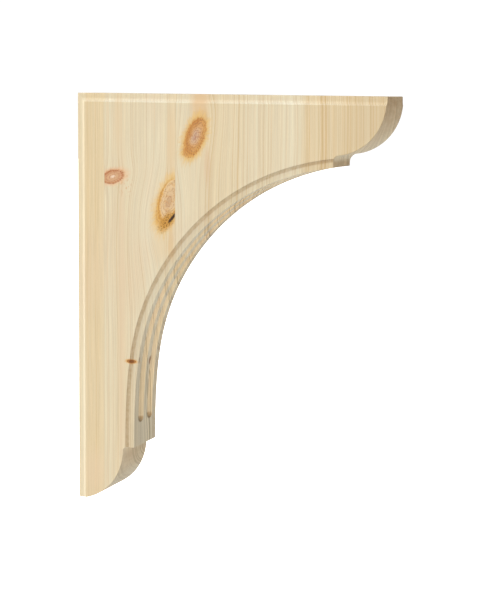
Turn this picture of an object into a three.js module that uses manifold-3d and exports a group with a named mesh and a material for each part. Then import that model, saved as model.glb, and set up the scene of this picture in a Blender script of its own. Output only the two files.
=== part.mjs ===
// A carved wooden corbel bracket, which stands under a shelf and is fixed flat against a wall.
// Millimetres, +Z up. X runs out from the wall, Y runs across the thickness, and the origin is the
// middle of the face that meets the wall.
// It is one solid: a board cut to outline, with a stepped moulding along the straight edges and the
// curved edge of both faces, and two round-ended flutes along the underside of the curve.
import * as THREE from "three";
import { mergeVertices } from "three/addons/utils/BufferGeometryUtils.js";
import Module from "manifold-3d";

const wasm = await Module();
wasm.setup();

// Board
const HEIGHT = 290;
const PROJECTION = 225;
const THICKNESS = 40;

// Rounded end under the shelf: a short upright stretch, a nose, a cove and an upright step
const FRONT_UPRIGHT = 3.2;
const FRONT_NOSE_RADIUS = 36;
const FRONT_COVE_RADIUS = 5;
const FRONT_STEP_SETBACK = 36.15;
const FRONT_STEP_FACE = 3.2;

// Rounded end at the foot: a level step, a cove and a nose that ends on a narrow flat
const FOOT_STEP_RISE = 40.1;
const FOOT_STEP_FACE = 5.4;
const FOOT_NOSE_REACH = 36;
const FOOT_NOSE_RADIUS = 38.7;
const FOOT_NOSE_CUT = 0.7;
const FOOT_COVE_RADIUS = 2.5;

// Curved edge between the two steps: it leaves the foot plumb and arrives at the front nearly level.
// Its middle pull point is measured from the wall and from the top.
const CURVE_LOWER_PULL = 95;
const CURVE_MIDDLE_REACH = 54.3;
const CURVE_MIDDLE_DROP = 158.4;
const CURVE_UPPER_PULL = 114.5;
const CURVE_UPPER_SLOPE_DEGREES = 7.7;

// Edge moulding: a sunk flat fillet, then a hollow that rises to the face
const FILLET_WIDTH = 2.6;
const HOLLOW_RADIUS = 4;
const MOULDING_DEPTH = 2;

// Flutes, cut with a ball-nosed cutter
const FLUTE_CUTTER_RADIUS = 5;
const FLUTE_DEPTH = 3;
const FLUTE_SPACING = 14.5;
const FLUTE_END_MARGIN = 17;

// Fineness of the facets
const CURVE_SEGMENTS = 56;
const NOSE_SEGMENTS = 22;
const COVE_SEGMENTS = 6;
const FLUTE_SIDES = 20;
const FLUTE_END_RINGS = 5;
const HOLLOW_SEGMENTS = 4;
const OVERCUT = 2;

// Places that follow from the sizes
const TOP = HEIGHT / 2;
const BOTTOM = -HEIGHT / 2;
const HALF_THICKNESS = THICKNESS / 2;

// The flat under the foot cuts a little off the bottom of its nose.
const footNoseFall = FOOT_NOSE_RADIUS - FOOT_NOSE_CUT;
const frontNoseCentre = new THREE.Vector2(PROJECTION - FRONT_NOSE_RADIUS, TOP - FRONT_UPRIGHT);
const footNoseCentre = new THREE.Vector2(FOOT_NOSE_REACH - FOOT_NOSE_RADIUS, BOTTOM + footNoseFall);

// A cove touches its nose and its step, so its centre is one cove radius from the step's face and
// both radii from the nose's centre.
const frontCentreDistance = FRONT_NOSE_RADIUS + FRONT_COVE_RADIUS;
const frontCoveX = PROJECTION - FRONT_STEP_SETBACK + FRONT_COVE_RADIUS;
const frontCoveFall = Math.sqrt(frontCentreDistance ** 2 - (frontCoveX - frontNoseCentre.x) ** 2);
const frontCoveCentre = new THREE.Vector2(frontCoveX, frontNoseCentre.y - frontCoveFall);

const footCentreDistance = FOOT_NOSE_RADIUS + FOOT_COVE_RADIUS;
const footCoveZ = BOTTOM + FOOT_STEP_RISE - FOOT_COVE_RADIUS;
const footCoveRun = Math.sqrt(footCentreDistance ** 2 - (footCoveZ - footNoseCentre.y) ** 2);
const footCoveCentre = new THREE.Vector2(footNoseCentre.x + footCoveRun, footCoveZ);

// Each step's face runs on straight from its cove to its corner.
const frontStepCorner = new THREE.Vector2(
  frontCoveCentre.x - FRONT_COVE_RADIUS,
  frontCoveCentre.y - FRONT_STEP_FACE,
);
const footStepCorner = new THREE.Vector2(
  footCoveCentre.x + FOOT_STEP_FACE,
  footCoveCentre.y + FOOT_COVE_RADIUS,
);

// A smooth curve from the first to the last of its pull points, drawn towards the points between them.
class PulledCurve extends THREE.Curve {
  constructor(pullPoints) {
    super();
    this.pullPoints = pullPoints;
  }

  getPoint(share, target = new THREE.Vector2()) {
    let points = this.pullPoints;
    while (points.length > 1) {
      points = points.slice(1).map((point, i) => points[i].clone().lerp(point, share));
    }
    return target.copy(points[0]);
  }
}

// The concave edge as one curve, from the foot step's corner up to the front step's corner.
const upperSlope = THREE.MathUtils.degToRad(CURVE_UPPER_SLOPE_DEGREES);
const upperDirection = new THREE.Vector2(Math.cos(upperSlope), Math.sin(upperSlope));
const concaveEdge = new PulledCurve([
  footStepCorner,
  footStepCorner.clone().add(new THREE.Vector2(0, CURVE_LOWER_PULL)),
  new THREE.Vector2(CURVE_MIDDLE_REACH, TOP - CURVE_MIDDLE_DROP),
  frontStepCorner.clone().addScaledVector(upperDirection, -CURVE_UPPER_PULL),
  frontStepCorner,
]);

// A point of the concave edge at a share of its length, with the way along it and the way into the wood.
function edgeStation(share) {
  const point = concaveEdge.getPointAt(share);
  const along = concaveEdge.getTangentAt(share);
  const inward = new THREE.Vector2(-along.y, along.x);
  return { point, along, inward };
}

function arcPoints(centre, radius, fromAngle, toAngle, segments) {
  const points = [];
  for (let i = 0; i <= segments; i++) {
    const angle = fromAngle + ((toAngle - fromAngle) * i) / segments;
    points.push(new THREE.Vector2(centre.x + radius * Math.cos(angle), centre.y + radius * Math.sin(angle)));
  }
  return points;
}

function angleOf(centre, target) {
  return Math.atan2(target.y - centre.y, target.x - centre.x);
}

// The board's outline, counter-clockwise from the foot of the wall face.
function outlinePoints() {
  const footFlatAngle = -Math.asin(footNoseFall / FOOT_NOSE_RADIUS);
  const footNose = arcPoints(
    footNoseCentre,
    FOOT_NOSE_RADIUS,
    footFlatAngle,
    angleOf(footNoseCentre, footCoveCentre),
    NOSE_SEGMENTS,
  );
  const footCove = arcPoints(
    footCoveCentre,
    FOOT_COVE_RADIUS,
    angleOf(footCoveCentre, footNoseCentre) + (footNoseCentre.y < footCoveCentre.y ? 2 * Math.PI : 0),
    Math.PI / 2,
    COVE_SEGMENTS,
  );
  const curve = [];
  for (let i = 0; i <= CURVE_SEGMENTS; i++) {
    curve.push(edgeStation(i / CURVE_SEGMENTS).point);
  }
  const frontCove = arcPoints(
    frontCoveCentre,
    FRONT_COVE_RADIUS,
    Math.PI,
    angleOf(frontCoveCentre, frontNoseCentre),
    COVE_SEGMENTS,
  );
  const frontNose = arcPoints(
    frontNoseCentre,
    FRONT_NOSE_RADIUS,
    angleOf(frontNoseCentre, frontCoveCentre),
    0,
    NOSE_SEGMENTS,
  );
  return [
    new THREE.Vector2(0, BOTTOM),
    ...footNose,
    ...footCove.slice(1),
    ...curve,
    ...frontCove,
    ...frontNose.slice(1),
    new THREE.Vector2(PROJECTION, TOP),
    new THREE.Vector2(0, TOP),
  ];
}

// A closed geometry as a solid that can be joined and cut.
function solidFrom(geometry) {
  const bare = geometry.index ? geometry.toNonIndexed() : geometry.clone();
  bare.deleteAttribute("normal");
  bare.deleteAttribute("uv");
  const merged = mergeVertices(bare, 1e-4);
  return new wasm.Manifold(
    new wasm.Mesh({
      numProp: 3,
      vertProperties: new Float32Array(merged.attributes.position.array),
      triVerts: new Uint32Array(merged.index.array),
    }),
  );
}

function geometryFrom(solid) {
  const mesh = solid.getMesh();
  const geometry = new THREE.BufferGeometry();
  geometry.setAttribute("position", new THREE.BufferAttribute(mesh.vertProperties, mesh.numProp));
  geometry.setIndex(new THREE.BufferAttribute(mesh.triVerts, 1));
  geometry.computeVertexNormals();
  return geometry;
}

// The plain board: the outline drawn in X and Z, extruded across the thickness.
function boardSolid() {
  const geometry = new THREE.ExtrudeGeometry(new THREE.Shape(outlinePoints()), {
    depth: THICKNESS,
    bevelEnabled: false,
  });
  geometry.rotateX(Math.PI / 2);
  geometry.translate(0, HALF_THICKNESS, 0);
  return solidFrom(geometry);
}

// A closed skin over rings of points, each ring a list of the same length, with both ends capped by fans.
function skinOverRings(rings) {
  const count = rings[0].length;
  const positions = [];
  const push = (...points) => points.forEach((p) => positions.push(p.x, p.y, p.z));
  for (let i = 0; i + 1 < rings.length; i++) {
    for (let j = 0; j < count; j++) {
      const k = (j + 1) % count;
      push(rings[i][j], rings[i][k], rings[i + 1][k]);
      push(rings[i][j], rings[i + 1][k], rings[i + 1][j]);
    }
  }
  const first = rings[0];
  const last = rings[rings.length - 1];
  for (let j = 1; j + 1 < count; j++) {
    push(first[0], first[j + 1], first[j]);
    push(last[0], last[j], last[j + 1]);
  }
  const geometry = new THREE.BufferGeometry();
  geometry.setAttribute("position", new THREE.Float32BufferAttribute(positions, 3));
  return geometry;
}

function outwardSolid(geometry) {
  const solid = solidFrom(geometry);
  if (solid.volume() > 0) {
    return solid;
  }
  const turned = geometry.clone();
  const array = turned.attributes.position.array;
  for (let i = 0; i < array.length; i += 9) {
    for (let k = 0; k < 3; k++) {
      [array[i + 3 + k], array[i + 6 + k]] = [array[i + 6 + k], array[i + 3 + k]];
    }
  }
  return solidFrom(turned);
}

// The hollow is an arc that leaves the fillet level and meets the face at this turn.
const hollowTurn = Math.acos(1 - MOULDING_DEPTH / HOLLOW_RADIUS);
const mouldingWidth = FILLET_WIDTH + HOLLOW_RADIUS * Math.sin(hollowTurn);

// The waste that the moulding cutter takes off one edge of one face. The cutter's section is swept along
// stations that each give a point of the edge and the way into the wood.
function mouldingWaste(stations, side) {
  const fillet = HALF_THICKNESS - MOULDING_DEPTH;
  const above = HALF_THICKNESS + OVERCUT;
  const section = [[-OVERCUT, fillet]];
  for (let i = 0; i <= HOLLOW_SEGMENTS; i++) {
    const turn = (hollowTurn * i) / HOLLOW_SEGMENTS;
    const rise = HOLLOW_RADIUS * (1 - Math.cos(turn));
    section.push([FILLET_WIDTH + HOLLOW_RADIUS * Math.sin(turn), fillet + rise]);
  }
  section.push([mouldingWidth + OVERCUT / Math.tan(hollowTurn), above]);
  section.push([-OVERCUT, above]);
  const rings = stations.map(({ point, inward }) =>
    section.map(([inset, across]) => {
      const place = point.clone().addScaledVector(inward, inset);
      return new THREE.Vector3(place.x, side * across, place.y);
    }),
  );
  return outwardSolid(skinOverRings(rings));
}

// The three moulded edges. Each runs straight on past its ends, as the cutter does.
function mouldedEdges() {
  const runOut = mouldingWidth + 2 * OVERCUT;
  const right = new THREE.Vector2(1, 0);
  const down = new THREE.Vector2(0, -1);
  const wallEdge = [
    { point: new THREE.Vector2(0, BOTTOM - runOut), inward: right },
    { point: new THREE.Vector2(0, TOP + runOut), inward: right },
  ];
  const topEdge = [
    { point: new THREE.Vector2(-runOut, TOP), inward: down },
    { point: new THREE.Vector2(PROJECTION + runOut, TOP), inward: down },
  ];
  const curvedEdge = [];
  for (let i = 0; i <= CURVE_SEGMENTS; i++) {
    curvedEdge.push(edgeStation(i / CURVE_SEGMENTS));
  }
  const foot = curvedEdge[0];
  const front = curvedEdge[CURVE_SEGMENTS];
  curvedEdge.unshift({ ...foot, point: foot.point.clone().addScaledVector(foot.along, -runOut) });
  curvedEdge.push({ ...front, point: front.point.clone().addScaledVector(front.along, runOut) });
  return [wallEdge, topEdge, curvedEdge];
}

// The waste of one flute: the path of a ball-nosed cutter whose centre rides outside the curved edge.
function fluteWaste(across) {
  const centreInset = FLUTE_DEPTH - FLUTE_CUTTER_RADIUS;
  const halfMouth = Math.sqrt(FLUTE_CUTTER_RADIUS ** 2 - centreInset ** 2);
  const margin = (FLUTE_END_MARGIN + halfMouth) / concaveEdge.getLength();
  const rings = [];
  const addRing = (share, lean) => {
    const { point, along, inward } = edgeStation(share);
    const radius = FLUTE_CUTTER_RADIUS * Math.cos(lean);
    const centre = point
      .clone()
      .addScaledVector(inward, centreInset)
      .addScaledVector(along, FLUTE_CUTTER_RADIUS * Math.sin(lean));
    const ring = [];
    for (let j = 0; j < FLUTE_SIDES; j++) {
      const turn = (2 * Math.PI * j) / FLUTE_SIDES;
      const place = centre.clone().addScaledVector(inward, radius * Math.cos(turn));
      ring.push(new THREE.Vector3(place.x, across + radius * Math.sin(turn), place.y));
    }
    rings.push(ring);
  };
  const smallestRing = Math.PI / 2 - 0.05;
  for (let i = FLUTE_END_RINGS; i > 0; i--) {
    addRing(margin, (-smallestRing * i) / FLUTE_END_RINGS);
  }
  for (let i = 0; i <= CURVE_SEGMENTS; i++) {
    addRing(margin + ((1 - 2 * margin) * i) / CURVE_SEGMENTS, 0);
  }
  for (let i = 1; i <= FLUTE_END_RINGS; i++) {
    addRing(1 - margin, (smallestRing * i) / FLUTE_END_RINGS);
  }
  return outwardSolid(skinOverRings(rings));
}

function bracketSolid() {
  let solid = boardSolid();
  for (const side of [-1, 1]) {
    for (const edge of mouldedEdges()) {
      solid = solid.subtract(mouldingWaste(edge, side));
    }
    solid = solid.subtract(fluteWaste((side * FLUTE_SPACING) / 2));
  }
  return solid;
}

const pine = new THREE.MeshStandardMaterial({ color: 0xe7d7b6, roughness: 0.6, metalness: 0 });

const bracket = new THREE.Mesh(geometryFrom(bracketSolid()), pine);
bracket.name = "corbel_bracket";

const corbel = new THREE.Group();
corbel.add(bracket);

export default corbel;
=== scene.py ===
# %% [markdown]
# A wooden corbel bracket: a board of pine staves glued edge to edge, cut to a right-angled outline with
# one big concave edge. It stands under a shelf with its straight upright edge against the wall.
# The notebook loads the measured frame first. Everything after it is built in the same metres and axes:
# X runs out from the wall, Y across the thickness, and Z up.

# %% Load the frame
import math

import bmesh
import bpy
import numpy as np
from mathutils import Matrix, Vector


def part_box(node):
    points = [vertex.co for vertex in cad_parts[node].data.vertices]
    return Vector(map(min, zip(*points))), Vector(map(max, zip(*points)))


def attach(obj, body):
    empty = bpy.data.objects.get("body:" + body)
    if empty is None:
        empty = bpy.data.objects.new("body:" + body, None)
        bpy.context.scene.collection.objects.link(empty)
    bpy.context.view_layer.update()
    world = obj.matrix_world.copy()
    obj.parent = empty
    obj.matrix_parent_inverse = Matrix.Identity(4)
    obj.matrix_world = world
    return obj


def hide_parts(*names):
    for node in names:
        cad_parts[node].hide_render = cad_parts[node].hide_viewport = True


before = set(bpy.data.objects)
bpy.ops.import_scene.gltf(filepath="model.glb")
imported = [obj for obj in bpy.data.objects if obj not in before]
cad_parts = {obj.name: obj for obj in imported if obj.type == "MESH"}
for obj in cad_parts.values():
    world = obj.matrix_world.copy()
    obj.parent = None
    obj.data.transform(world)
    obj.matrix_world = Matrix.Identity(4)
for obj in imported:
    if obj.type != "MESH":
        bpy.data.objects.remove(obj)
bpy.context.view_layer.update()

MM = 0.001
low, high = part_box("corbel_bracket")
PROJECTION = (high[0] - low[0]) / MM
THICKNESS = (high[1] - low[1]) / MM
HEIGHT = (high[2] - low[2]) / MM
print("frame box in mm:", round(PROJECTION, 2), round(THICKNESS, 2), round(HEIGHT, 2))

# %% [markdown]
# The camera comes first, because every later choice is judged through it. The photograph was taken from
# the right of the bracket and level with its top, so the board's face recedes to the left and the
# underside of the curve shows. A place and three turns are set directly. Aiming at a target would be
# shorter, but it leaves out the small roll that keeps the wall edge upright in the picture.

# %% Camera
CAMERA_PLACE = Vector((0.5075, -0.9874, 0.1508))
CAMERA_YAW = math.radians(21.392)
CAMERA_PITCH = math.radians(7.902)
CAMERA_ROLL = math.radians(0.615)
FOCAL_PIXELS = 1541.5
PICTURE_HEIGHT_PIXELS = 600
SENSOR_MM = 36.0


def camera_axes(yaw, pitch, roll):
    forward = Vector(
        (-math.sin(yaw) * math.cos(pitch), math.cos(yaw) * math.cos(pitch), -math.sin(pitch))
    )
    level_right = Vector((math.cos(yaw), math.sin(yaw), 0.0))
    level_down = forward.cross(level_right)
    right = level_right * math.cos(roll) - level_down * math.sin(roll)
    down = level_right * math.sin(roll) + level_down * math.cos(roll)
    return right, -down, -forward


camera_data = bpy.data.cameras.new("camera")
camera_data.sensor_width = SENSOR_MM
camera_data.lens = FOCAL_PIXELS / PICTURE_HEIGHT_PIXELS * SENSOR_MM
camera = bpy.data.objects.new("camera", camera_data)
axes = camera_axes(CAMERA_YAW, CAMERA_PITCH, CAMERA_ROLL)
turn = Matrix((axes[0], axes[1], axes[2])).transposed().to_4x4()
camera.matrix_world = Matrix.Translation(CAMERA_PLACE) @ turn
bpy.context.scene.collection.objects.link(camera)
bpy.context.scene.camera = camera
print("lens in mm:", round(camera_data.lens, 2))

# %% [markdown]
# The board's outline is made of the same few curves as the real cut: two noses, two coves, two steps and
# one long concave edge. Each is worked out from its own size. A traced outline would carry every wobble
# of the tracing, and could not be offset cleanly for the moulding.

# %% Sizes of the cut, in millimetres
TOP = HEIGHT / 2
BOTTOM = -HEIGHT / 2
HALF_THICKNESS = THICKNESS / 2

FRONT_UPRIGHT = 3.2
FRONT_NOSE_RADIUS = 36.0
FRONT_COVE_RADIUS = 5.0
FRONT_STEP_SETBACK = 36.15
FRONT_STEP_FACE = 3.2

FOOT_STEP_RISE = 40.1
FOOT_STEP_FACE = 5.4
FOOT_NOSE_REACH = 36.0
FOOT_NOSE_RADIUS = 38.7
FOOT_NOSE_CUT = 0.7
FOOT_COVE_RADIUS = 2.5

CURVE_LOWER_PULL = 95.0
CURVE_MIDDLE_REACH = 54.3
CURVE_MIDDLE_DROP = 158.4
CURVE_UPPER_PULL = 114.5
CURVE_UPPER_SLOPE = math.radians(7.7)

FILLET_WIDTH = 2.6
HOLLOW_RADIUS = 4.0
MOULDING_DEPTH = 2.0

FLUTE_CUTTER_RADIUS = 5.0
FLUTE_DEPTH = 3.0
FLUTE_SPACING = 14.5
FLUTE_END_MARGIN = 17.0

# %% Centres of the noses and coves, and the corners of the steps
front_nose_centre = np.array([PROJECTION - FRONT_NOSE_RADIUS, TOP - FRONT_UPRIGHT])
front_cove_x = PROJECTION - FRONT_STEP_SETBACK + FRONT_COVE_RADIUS
front_cove_fall = math.sqrt(
    (FRONT_NOSE_RADIUS + FRONT_COVE_RADIUS) ** 2 - (front_cove_x - front_nose_centre[0]) ** 2
)
front_cove_centre = np.array([front_cove_x, front_nose_centre[1] - front_cove_fall])
front_corner = front_cove_centre + [-FRONT_COVE_RADIUS, -FRONT_STEP_FACE]

foot_nose_centre = np.array(
    [FOOT_NOSE_REACH - FOOT_NOSE_RADIUS, BOTTOM + FOOT_NOSE_RADIUS - FOOT_NOSE_CUT]
)
foot_cove_z = BOTTOM + FOOT_STEP_RISE - FOOT_COVE_RADIUS
foot_cove_run = math.sqrt(
    (FOOT_NOSE_RADIUS + FOOT_COVE_RADIUS) ** 2 - (foot_cove_z - foot_nose_centre[1]) ** 2
)
foot_cove_centre = np.array([foot_nose_centre[0] + foot_cove_run, foot_cove_z])
foot_corner = foot_cove_centre + [FOOT_STEP_FACE, FOOT_COVE_RADIUS]
print("front step corner:", front_corner.round(2), "foot step corner:", foot_corner.round(2))


# %% The long concave edge, measured by length from the foot
def concave_edge_points(samples):
    share = np.linspace(0, 1, samples)[:, None]
    arrival = np.array([math.cos(CURVE_UPPER_SLOPE), math.sin(CURVE_UPPER_SLOPE)])
    pulls = [
        foot_corner,
        foot_corner + [0, CURVE_LOWER_PULL],
        np.array([CURVE_MIDDLE_REACH, TOP - CURVE_MIDDLE_DROP]),
        front_corner - CURVE_UPPER_PULL * arrival,
        front_corner,
    ]
    while len(pulls) > 1:
        pulls = [before + share * (after - before) for before, after in zip(pulls, pulls[1:])]
    return pulls[0]


def running_length(points):
    steps = np.linalg.norm(np.diff(points, axis=0), axis=1)
    return np.concatenate([[0.0], np.cumsum(steps)])


EDGE_SAMPLES = 3000
RUN_ON = 14.0
edge_points = concave_edge_points(EDGE_SAMPLES)
edge_ways = np.gradient(edge_points, axis=0)
edge_ways /= np.linalg.norm(edge_ways, axis=1)[:, None]
edge_lengths = running_length(edge_points)
EDGE_LENGTH = edge_lengths[-1]
edge_points = np.vstack(
    [edge_points[0] - RUN_ON * edge_ways[0], edge_points, edge_points[-1] + RUN_ON * edge_ways[-1]]
)
edge_ways = np.vstack([edge_ways[0], edge_ways, edge_ways[-1]])
edge_lengths = np.concatenate([[-RUN_ON], edge_lengths, [EDGE_LENGTH + RUN_ON]])


def edge_at(lengths, inset):
    """Points of the concave edge at some lengths from the foot, moved into the wood by inset."""
    place = [np.interp(lengths, edge_lengths, edge_points[:, axis]) for axis in (0, 1)]
    way = [np.interp(lengths, edge_lengths, edge_ways[:, axis]) for axis in (0, 1)]
    return np.column_stack([place[0] - way[1] * inset, place[1] + way[0] * inset])


print("concave edge length in mm:", round(EDGE_LENGTH, 1))


# %% The two plain ends, as lines that run a little past the corners they meet
def arc(centre, radius, start, end, count):
    angles = np.linspace(start, end, count)
    return centre + radius * np.column_stack([np.cos(angles), np.sin(angles)])


def angle_between(centre, target):
    return math.atan2(target[1] - centre[1], target[0] - centre[0])


PAST = 2.0
NOSE_POINTS = 90
FRONT_COVE_POINTS = 24
FOOT_COVE_POINTS = 14
to_cove = angle_between(front_nose_centre, front_cove_centre)
front_end = np.vstack(
    [
        front_corner - [0, PAST],
        arc(front_cove_centre, FRONT_COVE_RADIUS, math.pi, to_cove + math.pi, FRONT_COVE_POINTS),
        arc(front_nose_centre, FRONT_NOSE_RADIUS, to_cove, 0, NOSE_POINTS)[1:],
        [[PROJECTION, TOP + PAST]],
    ]
)
to_cove = angle_between(foot_nose_centre, foot_cove_centre)
flat_angle = -math.asin((FOOT_NOSE_RADIUS - FOOT_NOSE_CUT) / FOOT_NOSE_RADIUS)
foot_end = np.vstack(
    [
        foot_corner + [PAST, 0],
        arc(foot_cove_centre, FOOT_COVE_RADIUS, math.pi / 2, to_cove + math.pi, FOOT_COVE_POINTS),
        arc(foot_nose_centre, FOOT_NOSE_RADIUS, to_cove, flat_angle, NOSE_POINTS)[1:],
        [[-PAST, BOTTOM]],
    ]
)
print("end lines have", len(front_end), "and", len(foot_end), "points")

# %% [markdown]
# The moulding is a sunk flat with a hollow that rises to the face, and its corners are softened by
# sanding. The board is built as a stack of closed loops, one for each level across the thickness, and
# every loop has the same number of points, so neighbours join with plain quads. Cutting the moulding and
# the flutes with boolean tools would be quicker to write, but it leaves long thin faces that shade badly
# along the curve.

# %% Section of the moulding, from the face down to the edge
ARRIS_RADIUS = 0.45
FACE_ARRIS_RADIUS = 0.35
FILLET_FALL = 0.12
ARC_STEPS = 5
HOLLOW_STEPS = 9
ARRIS_SIDE = 1.0
LEAST_STEP = 0.004


def soften(corners, radii):
    """Replace each inner corner of a line by an arc that touches both of its sides."""
    line = [corners[0]]
    for before, corner, after, radius in zip(corners, corners[1:], corners[2:], radii):
        back = (before - corner) / np.linalg.norm(before - corner)
        on = (after - corner) / np.linalg.norm(after - corner)
        half_angle = math.acos(np.clip(back @ on, -1, 1)) / 2
        reach = radius / math.tan(half_angle)
        start = corner + back * reach
        end = corner + on * reach
        for share in np.linspace(0, 1, ARC_STEPS):
            rest = 1 - share
            line.append(rest**2 * start + 2 * rest * share * corner + share**2 * end)
    line.append(corners[-1])
    return np.array(line)


fillet_y = HALF_THICKNESS - MOULDING_DEPTH
hollow_turn = math.acos(1 - MOULDING_DEPTH / HOLLOW_RADIUS)
hollow_turns = np.linspace(hollow_turn, 0, HOLLOW_STEPS)
hollow = np.column_stack(
    [
        FILLET_WIDTH + HOLLOW_RADIUS * np.sin(hollow_turns),
        fillet_y + HOLLOW_RADIUS * (1 - np.cos(hollow_turns)),
    ]
)
hollow[:, 1] += FILLET_FALL * (1 - hollow_turns / hollow_turn)
face_arris = soften(
    np.array([hollow[0] + [ARRIS_SIDE, 0.0], hollow[0], hollow[1]]), [FACE_ARRIS_RADIUS]
)[1:-1]
fillet_arris = soften(
    np.array([hollow[-1], [0.0, fillet_y], [0.0, fillet_y - ARRIS_SIDE]]), [ARRIS_RADIUS]
)[1:-1]
section = np.vstack([face_arris, hollow[1:], fillet_arris])
keep = np.concatenate([[True], np.diff(section[:, 1]) < -LEAST_STEP])
section = section[keep]
MOULDING_WIDTH = section[0, 0]
print("moulding section has", len(section), "levels and is", round(MOULDING_WIDTH, 2), "wide")


# %% [markdown]
# Two flutes run along the underside. A ball-nosed cutter made them, so they have round floors and round
# ends. Here no solid is cut: each point of the underside is moved into the wood by the depth that the
# cutter reached there. That needs levels and points that lie close together at the rims and at the ends,
# and wide apart elsewhere, and it leaves clean quads.

# %% Levels across the underside, close together in the flutes and at their rims
PLAIN_LEVELS = 29
FLUTE_LEVELS = 17
FLUTE_SWEEP = 1.5
CLEAR_OF_FILLET = 1.3
CLEAR_OF_RIM = 0.5
RIM_STEPS = (-0.12, 0.0, 0.12, 0.3)
CLOSEST_LEVELS = 0.05
half_mouth = math.sqrt(FLUTE_CUTTER_RADIUS**2 - (FLUTE_CUTTER_RADIUS - FLUTE_DEPTH) ** 2)


def underside_levels():
    limit = fillet_y - CLEAR_OF_FILLET
    levels = list(np.linspace(-limit, limit, PLAIN_LEVELS))
    angles = np.linspace(-FLUTE_SWEEP, FLUTE_SWEEP, FLUTE_LEVELS)
    for centre in (-FLUTE_SPACING / 2, FLUTE_SPACING / 2):
        levels = [y for y in levels if abs(y - centre) > half_mouth + CLEAR_OF_RIM]
        levels += [centre + half_mouth * math.sin(angle) for angle in angles]
        for side in (-1, 1):
            levels += [centre + side * (half_mouth + step) for step in RIM_STEPS]
    levels = np.unique(np.round(levels, 3))
    apart = np.concatenate([[True], np.diff(levels) > CLOSEST_LEVELS])
    return levels[apart]


RIM_SOFTNESS = 0.1


def flute_depth(lengths, across):
    """How deep the ball-nosed cutter went at some lengths of the edge and one place across it."""
    first = FLUTE_END_MARGIN + half_mouth
    last = EDGE_LENGTH - first
    past_end = np.maximum(0, np.maximum(first - lengths, lengths - last))
    aside = min(abs(across - FLUTE_SPACING / 2), abs(across + FLUTE_SPACING / 2))
    room = np.maximum(0.0, FLUTE_CUTTER_RADIUS**2 - aside**2 - past_end**2)
    depth = np.sqrt(room) - (FLUTE_CUTTER_RADIUS - FLUTE_DEPTH)
    return 0.5 * (depth + np.sqrt(depth**2 + RIM_SOFTNESS**2))


across_levels = underside_levels()
print("underside has", len(across_levels), "levels, flute mouth in mm:", round(2 * half_mouth, 2))


# %% Helpers that offset, cross and resample lines
def offset_line(line, inset):
    ways = np.gradient(line, axis=0)
    ways /= np.linalg.norm(ways, axis=1)[:, None]
    return line + inset * np.column_stack([-ways[:, 1], ways[:, 0]])


def crossing(line_a, line_b):
    """Length along each of two lines to the place where they cross."""
    start_a, way_a = line_a[:-1, None], np.diff(line_a, axis=0)[:, None]
    start_b, way_b = line_b[None, :-1], np.diff(line_b, axis=0)[None]
    gap = start_b - start_a
    cross = way_a[..., 0] * way_b[..., 1] - way_a[..., 1] * way_b[..., 0]
    least_cross = 1e-12
    cross = np.where(np.abs(cross) < least_cross, least_cross, cross)
    share_a = (gap[..., 0] * way_b[..., 1] - gap[..., 1] * way_b[..., 0]) / cross
    share_b = (gap[..., 0] * way_a[..., 1] - gap[..., 1] * way_a[..., 0]) / cross
    slack = 1e-6
    inside = (share_a > -slack) & (share_a < 1 + slack) & (share_b > -slack) & (share_b < 1 + slack)
    i, j = np.argwhere(inside)[0]
    lengths_a, lengths_b = running_length(line_a), running_length(line_b)
    return (
        lengths_a[i] + share_a[i, j] * (lengths_a[i + 1] - lengths_a[i]),
        lengths_b[j] + share_b[i, j] * (lengths_b[j + 1] - lengths_b[j]),
    )


def stretch_of(line, start, end, shares):
    """Points of a line between two of its lengths, at given shares of the way."""
    lengths = running_length(line)
    wanted = start + (end - start) * shares
    return np.column_stack([np.interp(wanted, lengths, line[:, axis]) for axis in (0, 1)])


# %% Shares of the way at which each stretch of a loop has its points
def eased(count, pull):
    """Even shares from 0 to 1, drawn towards the start when pull is above 1."""
    return np.linspace(0, 1, count) ** pull


ROOM_BEFORE_FLUTE = 0.6
ROOM_INTO_FLUTE = 0.4
STEP_TO_PLAIN = 0.8
STEP_TO_FULL_DEPTH = 1.2
close_from = FLUTE_END_MARGIN - ROOM_BEFORE_FLUTE
close_to = FLUTE_END_MARGIN + half_mouth + ROOM_INTO_FLUTE
half_edge = np.concatenate(
    [
        np.linspace(0, close_from - STEP_TO_PLAIN, 10),
        np.linspace(close_from, close_to, 17),
        np.linspace(close_to + STEP_TO_FULL_DEPTH, EDGE_LENGTH / 2, 90)[:-1],
    ]
)
other_half = EDGE_LENGTH - half_edge[::-1]
edge_shares = np.concatenate([half_edge, [EDGE_LENGTH / 2], other_half]) / EDGE_LENGTH
straight_shares = np.linspace(0, 1, 14)
front_shares = eased(74, 1.35)
foot_shares = eased(66, 1.2)
CORNER_SOFTNESS = 0.3
print("points along the concave edge:", len(edge_shares))


def join_stretches(stretches):
    """One closed loop from stretches that meet end to start, with each meeting corner softened."""
    loop = []
    for before, here in zip([stretches[-1]] + stretches[:-1], stretches):
        corner = here[0]
        back = before[-2] - corner
        on = here[1] - corner
        start = corner + back / np.linalg.norm(back) * CORNER_SOFTNESS
        end = corner + on / np.linalg.norm(on) * CORNER_SOFTNESS
        loop += [start, (start + 2 * corner + end) / 4, end]
        loop += list(here[1:-1])
    return np.array(loop)


# %% [markdown]
# Every loop is the board's outline at one level. It is offset into the wood by the moulding's section, and
# its straight sides, its two ends and its curve are crossed with each other to find where they meet. The
# points then lie at the same shares of the way in every loop, which keeps the rows of quads straight.

# %% One loop of the board at a level across the thickness
TRIAL_POINTS = 2400
TRIAL_MARGIN = 1.0
OVERHANG = 10.0


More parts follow.
